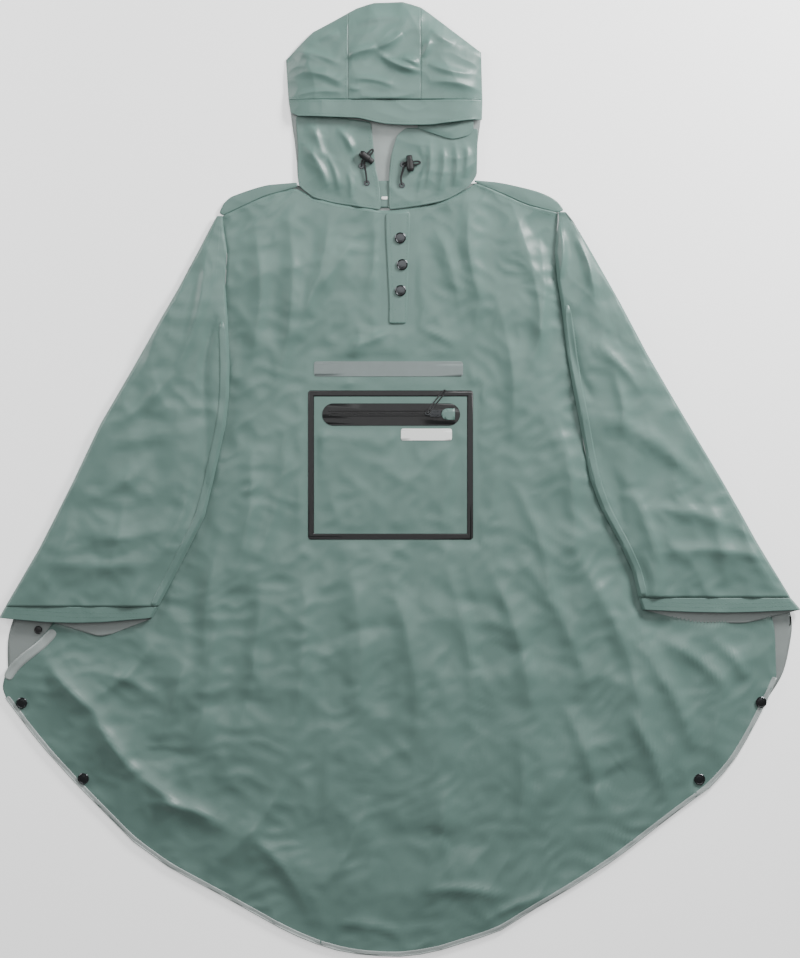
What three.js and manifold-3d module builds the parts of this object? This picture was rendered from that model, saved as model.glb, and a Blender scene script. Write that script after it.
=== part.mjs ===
// Hooded cycling rain poncho, laid flat on its back with the front up.
// Millimetres, +Z up out of the cloth, hood towards +Y, underside on z = 0.
// Every cloth piece is a wall of coated nylon; pieces that meet keep a seam gap.

import * as THREE from 'three';
import { mergeVertices } from 'three/addons/utils/BufferGeometryUtils.js';
import ManifoldModule from 'manifold-3d';

const manifold = await ManifoldModule();
manifold.setup();

// Driving sizes
const CLOTH = 1.2; // wall of coated nylon, with the air it holds
const GAP = 0.3; // between pieces that are sewn or laid together
const TRIM = 0.6; // tapes, label, strip and bindings
const FRONT_LEVEL = CLOTH + GAP; // underside of the front panel
const FRONT_TOP = FRONT_LEVEL + CLOTH;
const TRIM_LEVEL = FRONT_TOP + GAP; // underside of what lies on the front
const NECK_TOP = TRIM_LEVEL + CLOTH;
const HEM_HALF = 643.3; // from the middle of the garment to the hem and the hood's top
const CUFF_HALF = 540; // from the middle of the garment to the end of each cuff

// Named-column tables
function table(columns, rows) {
  return rows.map((row) => Object.fromEntries(columns.map((name, i) => [name, row[i]])));
}

function path(rows) {
  return table(['x', 'y'], rows);
}

const shifted = (points, dx, dy) => points.map((p) => ({ x: p.x + dx, y: p.y + dy }));
const scaled = (points, s) => points.map((p) => ({ x: p.x * s, y: p.y * s }));

function interpolate(rows, key, value, at) {
  const sorted = [...rows].sort((a, b) => a[key] - b[key]);
  const first = sorted[0];
  const last = sorted[sorted.length - 1];
  if (at <= first[key]) return first[value];
  if (at >= last[key]) return last[value];
  const i = sorted.findIndex((row) => row[key] >= at);
  const [a, b] = [sorted[i - 1], sorted[i]];
  return a[value] + ((at - a[key]) / (b[key] - a[key])) * (b[value] - a[value]);
}

const smoothstep = (from, to, value) => THREE.MathUtils.smoothstep(value, from, to);

// Outlines, each from left to right or from top to bottom
const FRONT_NECK_SEAM = path([
  [-136.4, 395], [-118, 379], [-88, 371], [-20, 361], [22.5, 367], [62, 375], [90, 391], [99.8, 403],
]);
const BACK_NECK_SEAM = path([[-138, 398], [-100, 386], [-20, 378], [60, 386], [99, 401]]);
const LEFT_SHOULDER_SEAM = path([[-239, 355], [-181, 382], [-155, 389], [-138.5, 393.5]]);
const RIGHT_SHOULDER_SEAM = path([[100.5, 400], [135, 386], [169, 370], [213, 359]]);
const LEFT_SHOULDER_FOLD = path([
  [-244, 359], [-239, 370.6], [-231, 379.6], [-206.6, 388.7], [-181, 396.5], [-138.5, 400],
]);
const RIGHT_SHOULDER_FOLD = path([[100.5, 403], [135, 400], [183, 389], [210, 378], [221.5, 362.5]]);
const HEM = path([
  [-520, -311], [-486, -356], [-439, -408], [-359, -489], [-310, -524], [-244, -559], [-149, -612],
  [-96, -633], [-46, -642], [0, -HEM_HALF], [41, -639], [132, -610.5], [177, -582], [230, -551],
  [288, -514], [379, -443.5], [424, -411], [457, -369], [490, -308],
]);
const FRONT_HEM = [{ x: -532, y: -295 }, ...HEM, { x: 507.6, y: -268 }];
const FRONT_LEFT_SIDE = path([
  [-335, 140], [-415, 0], [-448, -130], [-464, -192], [-486, -217], [-513, -238], [-529, -253],
  [-536, -268], [-537, -285],
]);
const FRONT_RIGHT_SIDE = path([[330, 150], [418, 0], [468, -95], [505, -194]]);
const BACK_LEFT_SIDE = path([[-340, 150], [-425, 0], [-475, -95], [-534, -193], [-526.5, -233]]);
const BACK_RIGHT_SIDE = path([[335, 150], [424, 0], [472, -90], [534.6, -188], [529, -230]]);
const HOOD_TOP = path([
  [-153.9, 565], [-118.8, 602], [-89.6, 617.6], [-57, 635.6], [-35.5, 642], [6, HEM_HALF],
  [29.7, 635.6], [82, 596], [109.3, 575],
]);
const HOOD_LEFT_SIDE = path([[-152, 537], [-148.5, 496], [-140, 440]]);
const HOOD_RIGHT_SIDE = path([[110.7, 518], [112, 503.6], [106, 464], [101, 420]]);
const BRIM_EDGE = path([
  [-147.8, 494], [-143, 489], [-56.7, 486], [-23, 478], [2.7, 476.3], [40.5, 476.3], [97.7, 484],
  [110.4, 484],
]);
const BRIM_SEAM_Y = 511;
const CROWN_SEAM_LEFT = -70;
const CROWN_SEAM_RIGHT = 28;
const HOOD_MAX_X = 112;
const HOOD_MIN_X = -153.9;

// Sleeves lie flat over the body; outer and inner are the edges at each height y
const SLEEVE_COLUMNS = ['y', 'outer', 'inner', 'height'];
const LEFT_SLEEVE = table(SLEEVE_COLUMNS, [
  [354.5, -247, -239, 3.8], [340, -255, -238, 4.5], [307, -272, -233, 6], [260, -297, -235.5, 8], [214, -323.5, -232, 8],
  [153, -358, -229.5, 8], [110, -383, -230.5, 8], [74, -404, -234.5, 8], [0, -439, -251, 8],
  [-50, -464, -263, 8], [-94, -486.5, -285, 8], [-143, -515, -310, 8.5], [-172, -532, -326, 9],
]);
const RIGHT_SLEEVE = table(SLEEVE_COLUMNS, [
  [360, 223.5, 213, 3.8], [345, 235, 212.5, 4.5], [305, 258.5, 208.5, 6], [267, 280, 212, 8], [236, 297.5, 217, 8],
  [169, 333, 225, 8], [120, 361.5, 233.5, 8], [87, 381, 240, 8], [0, 433, 256, 8],
  [-40, 456, 271, 8], [-86, 481.5, 296, 8], [-123, 504, 313, 8.5], [-160, 526.5, 321.5, 9],
]);
// The cuff's end: edge is its y at the middle, lip how far the under layer shows past it
const CUFFS = table(['name', 'sleeve', 'length', 'end', 'inner', 'sag', 'lip', 'lipReach'], [
  ['cuff_left', LEFT_SLEEVE, 15, -CUFF_HALF, -334, 7, 22, 0.55],
  ['cuff_right', RIGHT_SLEEVE, 16, CUFF_HALF, 327, 4, 17, 1],
]);
// One sleeve section, round from the inner edge over the top and back below:
// across is a share of the width, inset millimetres from that edge, rise a share of the height,
// wallX and wallZ where the inside surface lies, in wall thicknesses
const SLEEVE_SECTION = table(['across', 'inset', 'rise', 'wallX', 'wallZ'], [
  [0, 0, 0.5, 1, 0], [0, 3, 0.92, 0.5, -1], [0, 13, 1, 0, -1], [0.32, 0, 1, 0, -1],
  [0.5, 0, 1, 0, -1], [0.68, 0, 1, 0, -1], [1, -13, 1, 0, -1], [1, -3, 0.92, -0.5, -1],
  [1, 0, 0.5, -1, 0], [1, -3, 0, -0.5, 1], [0.66, 0, 0, 0, 1], [0.33, 0, 0, 0, 1], [0, 3, 0, 0.5, 1],
]);

// Largest folds: a ridge from one end to the other, with its half width and height
const FOLD_COLUMNS = ['x0', 'y0', 'x1', 'y1', 'width', 'height'];
const BODY_FOLDS = table(FOLD_COLUMNS, [
  [-196, 330, -204, 60, 22, 5], [-150, 345, -152, 230, 20, 4], [150, 350, 175, 60, 22, 5],
  [95, 350, 110, 240, 18, 4], [200, 40, 262, -190, 24, 5], [-205, 10, -240, -190, 24, 5],
  [-476, -250, -413, -320, 26, 7], [-413, -320, -350, -410, 28, 8], [-350, -425, -244, -470, 24, 7],
  [-300, -230, -250, -400, 26, 6], [-150, -180, -185, -430, 28, 6], [-60, -170, -80, -420, 24, 5],
  [40, -190, 60, -470, 26, 6], [150, -170, 190, -420, 26, 6], [290, -220, 350, -390, 28, 7],
  [400, -230, 430, -350, 24, 6], [40, -545, 200, -530, 20, 6], [-190, -500, -60, -560, 22, 6],
]);
const SLEEVE_FOLDS = table(FOLD_COLUMNS, [
  [-300, 215, -360, 90, 20, 4], [-300, 60, -400, 20, 22, 5], [-320, -20, -440, -60, 20, 4],
  [-360, -90, -470, -120, 20, 4], [262, 230, 300, 110, 18, 4], [290, 60, 390, 10, 22, 5],
  [320, -20, 420, -70, 20, 4], [350, -90, 470, -110, 20, 4],
]);
const CROWN_FOLDS = table(FOLD_COLUMNS, [
  [-72, 574, 4, 606, 9, 4], [-26, 579, 28, 554, 8, 4], [30, 575, 45, 600, 8, 3],
  [-120, 560, -80, 540, 12, 3], [50, 545, 95, 530, 12, 3], [-61, 539, -8, 528, 8, 2],
]);
const NECK_FOLDS = table(FOLD_COLUMNS, [
  [-128, 455, -98, 400, 11, 3], [-88, 468, -74, 400, 10, 2.5], [60, 432, 52, 396, 9, 2.5],
  [86, 438, 82, 405, 9, 2.5],
]);
// The body stays flat below its pocket, placket and label
const FLAT_ZONES = table(['left', 'right', 'bottom', 'top'], [
  [-168, 142, -125, 200], [-55, 55, 170, 370],
]);
const FLAT_FADE = 30;

function ridge(folds, x, y) {
  let height = 0;
  for (const fold of folds) {
    const [dx, dy] = [fold.x1 - fold.x0, fold.y1 - fold.y0];
    const share = ((x - fold.x0) * dx + (y - fold.y0) * dy) / (dx * dx + dy * dy);
    const along = THREE.MathUtils.clamp(share, 0, 1);
    const away = Math.hypot(x - fold.x0 - along * dx, y - fold.y0 - along * dy) / fold.width;
    height = Math.max(height, fold.height * Math.exp(-away * away));
  }
  return height;
}

function outsideZones(x, y) {
  let keep = 1;
  for (const zone of FLAT_ZONES) {
    const away = Math.max(zone.left - x, x - zone.right, zone.bottom - y, y - zone.top);
    keep *= smoothstep(0, FLAT_FADE, away);
  }
  return keep;
}

function outsideSleeves(x, y) {
  const cuffBottom = -250;
  if (y < cuffBottom) return 1;
  const left = interpolate(LEFT_SLEEVE, 'y', 'inner', y);
  const right = interpolate(RIGHT_SLEEVE, 'y', 'inner', y);
  const nearest = 14;
  const clear = 40;
  return smoothstep(nearest, clear, x - left) * smoothstep(nearest, clear, right - x);
}

const frontRelief = (x, y) => ridge(BODY_FOLDS, x, y) * outsideZones(x, y) * outsideSleeves(x, y);

// The hood's crown rises from its folded edge to stand clear of the neck below it
const CROWN_RISE = 12;
const CROWN_RUN = 14;
function crownLift(x, y) {
  const edge = Math.min(x - HOOD_MIN_X, HOOD_MAX_X - x, interpolate(HOOD_TOP, 'x', 'y', x) - y);
  return CROWN_RISE * (1 - Math.exp(-Math.max(edge, 0) / CROWN_RUN));
}

// Solids
function closed(positions, indices) {
  let geometry = new THREE.BufferGeometry();
  geometry.setAttribute('position', new THREE.Float32BufferAttribute(positions, 3));
  geometry.setIndex(indices);
  geometry = mergeVertices(geometry, 1e-3);
  const at = geometry.attributes.position;
  const corner = [new THREE.Vector3(), new THREE.Vector3(), new THREE.Vector3()];
  const kept = [];
  let volume = 0;
  for (let i = 0; i < geometry.index.count; i += 3) {
    const [a, b, c] = [0, 1, 2].map((k) => geometry.index.getX(i + k));
    if (a === b || b === c || c === a) continue;
    [a, b, c].forEach((vertex, k) => corner[k].fromBufferAttribute(at, vertex));
    volume += corner[0].dot(corner[1].clone().cross(corner[2]));
    kept.push(a, b, c);
  }
  if (volume < 0) {
    for (let i = 0; i < kept.length; i += 3) [kept[i], kept[i + 1]] = [kept[i + 1], kept[i]];
  }
  geometry.setIndex(kept);
  geometry.computeVertexNormals();
  return geometry;
}

function tidy(geometry) {
  const positions = Array.from(geometry.attributes.position.array);
  const count = geometry.attributes.position.count;
  const indices = geometry.index ? Array.from(geometry.index.array) : [...Array(count).keys()];
  return closed(positions, indices);
}

// A wall over a grid of underside points: grid[row][column]
function sheet(grid, thickness) {
  const rows = grid.length;
  const columns = grid[0].length;
  const positions = [];
  for (const level of [0, thickness]) {
    for (const row of grid) for (const p of row) positions.push(p.x, p.y, p.z + level);
  }
  const under = (r, c) => r * columns + c;
  const over = (r, c) => rows * columns + r * columns + c;
  const indices = [];
  for (let r = 0; r + 1 < rows; r++) {
    for (let c = 0; c + 1 < columns; c++) {
      indices.push(over(r, c), over(r + 1, c), over(r, c + 1));
      indices.push(over(r, c + 1), over(r + 1, c), over(r + 1, c + 1));
      indices.push(under(r, c), under(r, c + 1), under(r + 1, c));
      indices.push(under(r, c + 1), under(r + 1, c + 1), under(r + 1, c));
    }
  }
  const rim = [];
  for (let c = 0; c + 1 < columns; c++) rim.push([0, c]);
  for (let r = 0; r + 1 < rows; r++) rim.push([r, columns - 1]);
  for (let c = columns - 1; c > 0; c--) rim.push([rows - 1, c]);
  for (let r = rows - 1; r > 0; r--) rim.push([r, 0]);
  rim.forEach(([r, c], i) => {
    const [r2, c2] = rim[(i + 1) % rim.length];
    indices.push(over(r, c), over(r2, c2), under(r, c));
    indices.push(over(r2, c2), under(r2, c2), under(r, c));
  });
  return closed(positions, indices);
}

function spaced(points, shares) {
  const lengths = [0];
  for (let i = 1; i < points.length; i++) {
    const step = Math.hypot(points[i].x - points[i - 1].x, points[i].y - points[i - 1].y);
    lengths.push(lengths[i - 1] + step);
  }
  const total = lengths[lengths.length - 1];
  return shares.map((share) => {
    const at = share * total;
    let i = lengths.findIndex((length) => length >= at - 1e-9);
    i = Math.max(i, 1);
    const t = (at - lengths[i - 1]) / (lengths[i] - lengths[i - 1]);
    const [a, b] = [points[i - 1], points[i]];
    return { x: a.x + t * (b.x - a.x), y: a.y + t * (b.y - a.y) };
  });
}

// Shares from 0 to 1 in even steps, with one more line near each edge where rim is given
function shares(count, rim = 0) {
  const list = [...Array(count + 1).keys()].map((i) => rim + (i / count) * (1 - 2 * rim));
  return rim > 0 ? [0, ...list, 1] : list;
}

// A grid between four edges; left and right hold only the points between their corners
function fourEdges({ top, bottom, left = [], right = [] }, across, down, heightAt) {
  const topLine = spaced(top, across);
  const bottomLine = spaced(bottom, across);
  const last = across.length - 1;
  const leftLine = spaced([topLine[0], ...left, bottomLine[0]], down);
  const rightLine = spaced([topLine[last], ...right, bottomLine[last]], down);
  return down.map((v, r) => across.map((u, c) => {
    const point = (axis) => (1 - v) * topLine[c][axis] + v * bottomLine[c][axis]
      + (1 - u) * (leftLine[r][axis] - (1 - v) * topLine[0][axis] - v * bottomLine[0][axis])
      + u * (rightLine[r][axis] - (1 - v) * topLine[last][axis] - v * bottomLine[last][axis]);
    const [x, y] = [point('x'), point('y')];
    return new THREE.Vector3(x, y, heightAt(x, y, u, v));
  }));
}

// Folds die out before a piece's edge, where others are sewn or laid on
const inField = (u, v, rim, run) => smoothstep(rim, rim + run, Math.min(u, 1 - u, v, 1 - v));

// A band of one width along a line, on its left-hand side
function band(points, width, z, thickness) {
  const side = points.map((p, i) => {
    const before = points[Math.max(i - 1, 0)];
    const after = points[Math.min(i + 1, points.length - 1)];
    const length = Math.hypot(after.x - before.x, after.y - before.y);
    return { x: -(after.y - before.y) / length, y: (after.x - before.x) / length };
  });
  const line = (offset) => points.map((p, i) => (
    new THREE.Vector3(p.x + side[i].x * offset, p.y + side[i].y * offset, z)));
  return sheet([line(0), line(width)], thickness);
}

function sleeveSection(row, z0, foldHeight, endShift) {
  const width = row.outer - row.inner;
  const sign = Math.sign(width);
  return SLEEVE_SECTION.map((column) => {
    const most = Math.abs(width) * (Math.abs(column.inset) > 5 ? 0.3 : 0.12);
    const inset = Math.sign(column.inset) * Math.min(Math.abs(column.inset), most);
    const x = row.inner + column.across * width + sign * inset;
    const share = (x - row.inner) / width;
    const top = column.rise > 0.5;
    const y = row.y + endShift(share, top);
    const open = Math.abs(column.inset) < 5 && (column.across === 0 || column.across === 1) ? 0 : 1;
    const z = z0 + column.rise * row.height + (top ? open * foldHeight(x, row.y) : 0);
    const outer = new THREE.Vector3(x, y, z);
    const inner = outer.clone();
    inner.x += sign * column.wallX * CLOTH;
    inner.z += column.wallZ * CLOTH;
    return { outer, inner };
  });
}

// A tube wall through sections
function tubeWall(sections) {
  const count = sections[0].length;
  const positions = [];
  for (const side of ['outer', 'inner']) {
    for (const section of sections) {
      for (const p of section) positions.push(p[side].x, p[side].y, p[side].z);
    }
  }
  const outer = (s, k) => s * count + (k % count);
  const inner = (s, k) => sections.length * count + s * count + (k % count);
  const indices = [];
  const last = sections.length - 1;
  for (let k = 0; k < count; k++) {
    for (let s = 0; s < last; s++) {
      indices.push(outer(s, k), outer(s + 1, k), outer(s, k + 1));
      indices.push(outer(s, k + 1), outer(s + 1, k), outer(s + 1, k + 1));
      indices.push(inner(s, k), inner(s, k + 1), inner(s + 1, k));
      indices.push(inner(s, k + 1), inner(s + 1, k + 1), inner(s + 1, k));
    }
    indices.push(outer(0, k), outer(0, k + 1), inner(0, k));
    indices.push(outer(0, k + 1), inner(0, k + 1), inner(0, k));
    indices.push(outer(last, k), inner(last, k), outer(last, k + 1));
    indices.push(outer(last, k + 1), inner(last, k), inner(last, k + 1));
  }
  return closed(positions, indices);
}

function plate(shape, z, thickness, curveSegments = 6) {
  const options = { depth: thickness, bevelEnabled: false, curveSegments };
  const geometry = new THREE.ExtrudeGeometry(shape, options);
  geometry.translate(0, 0, z);
  return tidy(geometry);
}

function roundedRectangle(Outline, left, right, bottom, top, radius) {
  const outline = new Outline();
  outline.moveTo(left + radius, bottom);
  outline.lineTo(right - radius, bottom);
  outline.absarc(right - radius, bottom + radius, radius, -Math.PI / 2, 0);
  outline.lineTo(right, top - radius);
  outline.absarc(right - radius, top - radius, radius, 0, Math.PI / 2);
  outline.lineTo(left + radius, top);
  outline.absarc(left + radius, top - radius, radius, Math.PI / 2, Math.PI);
  outline.lineTo(left, bottom + radius);
  outline.absarc(left + radius, bottom + radius, radius, Math.PI, Math.PI * 1.5);
  return outline;
}

function turned(profile, segments) {
  const points = profile.map((p) => new THREE.Vector2(p.r, p.z));
  const geometry = new THREE.LatheGeometry(points, segments);
  geometry.rotateX(Math.PI / 2);
  return tidy(geometry);
}

function solidOf(geometry) {
  const mesh = new manifold.Mesh({
    numProp: 3,
    vertProperties: new Float32Array(geometry.attributes.position.array),
    triVerts: new Uint32Array(geometry.index.array),
  });
  return new manifold.Manifold(mesh);
}

function geometryOf(solid) {
  const mesh = solid.getMesh();
  return closed(Array.from(mesh.vertProperties), Array.from(mesh.triVerts));
}

const joined = (...parts) => geometryOf(parts.map(solidOf).reduce((a, b) => a.add(b)));
const cutFrom = (part, tool) => geometryOf(solidOf(part).subtract(solidOf(tool)));

const CORD_SIDES = 8;
function cordTube(points, radius, steps) {
  const section = new THREE.Shape();
  for (let i = 0; i < CORD_SIDES; i++) {
    const angle = (i / CORD_SIDES) * Math.PI * 2;
    const [x, y] = [Math.cos(angle) * radius, Math.sin(angle) * radius];
    if (i === 0) section.moveTo(x, y);
    else section.lineTo(x, y);
  }
  const extrudePath = new THREE.CatmullRomCurve3(points, false, 'centripetal');
  return tidy(new THREE.ExtrudeGeometry(section, { steps, extrudePath, bevelEnabled: false }));
}

function snapCap(x, y, z, radius) {
  const profile = table(['r', 'z'], [
    [0, 0], [radius * 0.86, 0], [radius, 0.6], [radius, 1.3], [radius * 0.88, 1.9],
    [radius * 0.76, 1.5], [radius * 0.4, 1.75], [0, 1.85],
  ]);
  const cap = turned(profile, 20);
  cap.translate(x, y, z);
  return cap;
}

function boxBetween(x0, x1, y0, y1, z0, z1) {
  const outline = roundedRectangle(THREE.Shape, x0, x1, y0, y1, Math.min(x1 - x0, y1 - y0) * 0.18);
  return plate(outline, z0, z1 - z0, 2);
}

// Materials
function material(color, roughness, metalness = 0) {
  return new THREE.MeshStandardMaterial({ color, roughness, metalness });
}

const MATERIALS = {
  shell: () => material('#86a397', 0.5),
  binding: () => material('#8c9894', 0.45),
  reflective: () => material('#b4bdba', 0.35, 0.2),
  tape: () => material('#1d2020', 0.42),
  snap: () => material('#7f8583', 0.28, 0.9),
  plastic: () => material('#151616', 0.4),
  cord: () => material('#17181a', 0.8),
  label: () => material('#e8ebe9', 0.6),
};

const poncho = new THREE.Group();
poncho.name = 'rain_poncho';

function add(name, geometry, kind) {
  const mesh = new THREE.Mesh(geometry, MATERIALS[kind]());
  mesh.name = name;
  poncho.add(mesh);
}

// Body
const backGrid = fourEdges({
  top: [
    { x: -238, y: 357 }, { x: -230, y: 376 }, { x: -181, y: 394 }, ...BACK_NECK_SEAM,
    { x: 135, y: 398 }, { x: 183, y: 387 }, { x: 214, y: 362 },
  ],
  bottom: [{ x: -528, y: -290 }, ...scaled(HEM, 0.996), { x: 519, y: -262 }],
  left: BACK_LEFT_SIDE,
  right: BACK_RIGHT_SIDE,
}, shares(22), shares(9), () => 0);
add('back_panel', sheet(backGrid, CLOTH), 'shell');

const FRONT_RIM = 0.022;
const frontGrid = fourEdges({
  top: [...LEFT_SHOULDER_SEAM, ...FRONT_NECK_SEAM.slice(1, -1), ...RIGHT_SHOULDER_SEAM],
  bottom: FRONT_HEM,
  left: FRONT_LEFT_SIDE,
  right: FRONT_RIGHT_SIDE,
}, shares(30, FRONT_RIM), shares(28, FRONT_RIM), (x, y, u, v) => (
  FRONT_LEVEL + frontRelief(x, y) * inField(u, v, FRONT_RIM, 0.04)));
add('front_panel', sheet(frontGrid, CLOTH), 'shell');

// Back cloth brought forward over each shoulder to the forward seam
const YOKE_CROWN = 0.8;
const yokeHeight = (x, y, u, v) => FRONT_LEVEL + YOKE_CROWN * Math.sin(Math.PI * v);
const YOKES = table(['name', 'fold', 'seam'], [
  ['yoke_left', LEFT_SHOULDER_FOLD, LEFT_SHOULDER_SEAM],
  ['yoke_right', RIGHT_SHOULDER_FOLD, RIGHT_SHOULDER_SEAM],
]);
for (const yoke of YOKES) {
  const edges = { top: yoke.fold, bottom: shifted(yoke.seam, 0, GAP * 1.2) };
  add(yoke.name, sheet(fourEdges(edges, shares(9), shares(2), yokeHeight), CLOTH), 'shell');
}

const HEM_BINDING_WIDTH = 5.5;
const hemLine = spaced(FRONT_HEM, shares(46, 0.004));
add('hem_binding', band(hemLine, HEM_BINDING_WIDTH, TRIM_LEVEL, TRIM), 'binding');
const EDGE_BINDING_WIDTH = 13;
const turnedEdge = spaced([{ x: -470, y: -199.5 }, ...FRONT_LEFT_SIDE.slice(4, 8)], shares(8, 0));
add('edge_binding_left', band(turnedEdge, EDGE_BINDING_WIDTH, TRIM_LEVEL, TRIM), 'binding');

// Sleeves and cuffs
const SLEEVE_LEVEL = TRIM_LEVEL;
const sleeveFold = (x, y) => ridge(SLEEVE_FOLDS, x, y) * smoothstep(-165, -120, y);
const SLEEVES = table(['side', 'rows'], [['left', LEFT_SLEEVE], ['right', RIGHT_SLEEVE]]);
const SEAM_STRIP_TOP = 240;
for (const { side, rows } of SLEEVES) {
  const sections = rows.map((row) => sleeveSection(row, SLEEVE_LEVEL, sleeveFold, () => 0));
  add(`sleeve_${side}`, tubeWall(sections), 'shell');
  // The underarm seam strip is made from the sleeve's own points, moved out
  const lines = [1, 2].map((k) => sections
    .filter((section) => section[0].outer.y < SEAM_STRIP_TOP)
    .map((section) => section[k].outer.clone().add(new THREE.Vector3(0, 0, GAP))));
  add(`underarm_seam_${side}`, sheet(lines, TRIM), 'shell');
}
for (const cuff of CUFFS) {
  const last = cuff.sleeve[cuff.sleeve.length - 1];
  const start = { ...last, y: last.y - GAP };
  const middle = {
    ...last,
    y: last.y - cuff.length / 2,
    outer: (last.outer + cuff.end) / 2,
    inner: (last.inner + cuff.inner) / 2,
  };
  const end = { ...last, y: last.y - cuff.length, outer: cuff.end, inner: cuff.inner };
  const sag = (share) => -cuff.sag * Math.sin(Math.PI * share);
  const lip = (share) => -cuff.lip * Math.sin(Math.PI * Math.min(share / cuff.lipReach, 1));
  const flat = () => 0;
  const sections = [
    sleeveSection(start, SLEEVE_LEVEL, flat, flat),
    sleeveSection(middle, SLEEVE_LEVEL, flat, (share, top) => (sag(share) + (top ? 0 : lip(share))) / 2),
    sleeveSection(end, SLEEVE_LEVEL, flat, (share, top) => sag(share) + (top ? 0 : lip(share))),
  ];
  add(cuff.name, tubeWall(sections), 'shell');
}

// Hood
const BACK_NECK_GAP = 2.4;
const hoodBackGrid = fourEdges({
  top: HOOD_TOP,
  bottom: shifted(BACK_NECK_SEAM, 0, BACK_NECK_GAP),
  left: HOOD_LEFT_SIDE,
  right: HOOD_RIGHT_SIDE,
}, shares(12), shares(6), () => 0);
add('hood_back', sheet(hoodBackGrid, CLOTH), 'shell');

const neckHeight = (x, y, u, v) => TRIM_LEVEL + ridge(NECK_FOLDS, x, y) * inField(u, v, 0.05, 0.12);
const NECK_LIFT = GAP * 1.2;
const leftNeckSeam = shifted(path([[-136.4, 395], [-118, 379], [-88, 371], [-26, 362]]), 0, NECK_LIFT);
const neckLeft = fourEdges({
  top: path([[-140.8, 489], [-90, 489], [-39, 481]]),
  bottom: leftNeckSeam,
  left: path([[-137.8, 447], [-137.8, 403]]),
  right: path([[-36, 450], [-32, 412.5], [-28, 402], [-25.7, 371]]),
}, shares(9), shares(8), neckHeight);
add('hood_neck_left', sheet(neckLeft, CLOTH), 'shell');
const rightNeckSeam = shifted(
  path([[-15, 362.5], [22.5, 367], [62, 375], [90, 391], [99.8, 403]]), 0, NECK_LIFT);
const neckRight = fourEdges({
  top: path([[7, 473], [50, 474], [105, 472]]),
  bottom: rightNeckSeam,
  left: path([[-4.7, 463], [-12, 437], [-15, 410], [-15.5, 372]]),
  right: path([[104.8, 464], [103.7, 411]]),
}, shares(9), shares(8), neckHeight);
add('hood_neck_right', sheet(neckRight, CLOTH), 'shell');

const crownHeight = (x, y, u, v) => (
  FRONT_LEVEL + crownLift(x, y) + ridge(CROWN_FOLDS, x, y) * inField(u, v, 0, 0.12));
const crownTop = (from, to) => {
  const yAt = (x) => interpolate(HOOD_TOP, 'x', 'y', x);
  const between = HOOD_TOP.filter((p) => p.x > from + 1 && p.x < to - 1);
  return [{ x: from, y: yAt(from) }, ...between, { x: to, y: yAt(to) }];
};
const CROWN_PANELS = table(['name', 'from', 'to', 'left', 'right'], [
  ['hood_crown_left', HOOD_MIN_X, CROWN_SEAM_LEFT - GAP / 2, -150.3, CROWN_SEAM_LEFT - GAP / 2],
  ['hood_crown_centre', CROWN_SEAM_LEFT + GAP / 2, CROWN_SEAM_RIGHT - GAP / 2,
    CROWN_SEAM_LEFT + GAP / 2, CROWN_SEAM_RIGHT - GAP / 2],
  ['hood_crown_right', CROWN_SEAM_RIGHT + GAP / 2, 109.3, CROWN_SEAM_RIGHT + GAP / 2, 111.2],
]);
for (const panel of CROWN_PANELS) {
  const grid = fourEdges({
    top: crownTop(panel.from, panel.to),
    bottom: path([[panel.left, BRIM_SEAM_Y], [panel.right, BRIM_SEAM_Y]]),
  }, shares(8), shares(8), crownHeight);
  add(panel.name, sheet(grid, CLOTH), 'shell');
}
const BRIM_THICKNESS = 1.8;
const brimGrid = fourEdges({
  top: path([[-150.3, BRIM_SEAM_Y - GAP], [111.2, BRIM_SEAM_Y - GAP]]),
  bottom: BRIM_EDGE,
}, shares(20), shares(3), (x, y) => FRONT_LEVEL + crownLift(x, y));
add('hood_brim', sheet(brimGrid, BRIM_THICKNESS), 'shell');
const FACING_LEVEL = NECK_TOP + GAP + 0.4;
const facingGrid = fourEdges({
  top: path([[24, 478], [62, 484], [99, 484]]),
  bottom: path([[24, 472.5], [69, 457], [91, 462], [99, 469]]),
}, shares(8), shares(3), (x, y, u, v) => FACING_LEVEL + 1.6 * Math.sin(Math.PI * v) * Math.sin(Math.PI * u));
add('brim_facing', sheet(facingGrid, CLOTH), 'shell');

const collarGrid = fourEdges({
  top: path([[-36, 402], [-8, 402]]),
  bottom: path([[-34, 366], [-8, 366]]),
}, shares(3), shares(3), () => FRONT_LEVEL);
add('collar_facing', sheet(collarGrid, CLOTH), 'shell');
add('collar_tag', boxBetween(-25, -17, 377, 381, TRIM_LEVEL, TRIM_LEVEL + 0.5), 'label');

// Placket with its three snaps
const placketGrid = fourEdges({
  top: path([[-19.7, 359], [14, 361.5]]),
  bottom: path([[-15.3, 209], [9, 209]]),
  left: path([[-19, 324], [-16.5, 278], [-14, 233]]),
}, shares(3), shares(8), () => TRIM_LEVEL);
add('placket_flap', sheet(placketGrid, CLOTH), 'shell');
const SNAP_RADIUS = 7.5;
const PLACKET_SNAPS = path([[0.5, 325], [3, 289], [0.7, 254]]);
PLACKET_SNAPS.forEach((p, i) => {
  add(`placket_snap_${i + 1}`, snapCap(p.x, p.y, NECK_TOP + GAP, SNAP_RADIUS), 'snap');
});
const HEM_SNAP_LEVEL = TRIM_LEVEL + TRIM + GAP;
const HEM_SNAPS = path([[-510, -302], [-427, -404], [487, -301], [404, -405]]);
HEM_SNAPS.forEach((p, i) => {
  add(`hem_snap_${i + 1}`, snapCap(p.x, p.y, HEM_SNAP_LEVEL, SNAP_RADIUS), 'snap');
});
add('inner_snap', snapCap(-488, -203.5, FRONT_LEVEL, 5.5), 'plastic');

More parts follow.
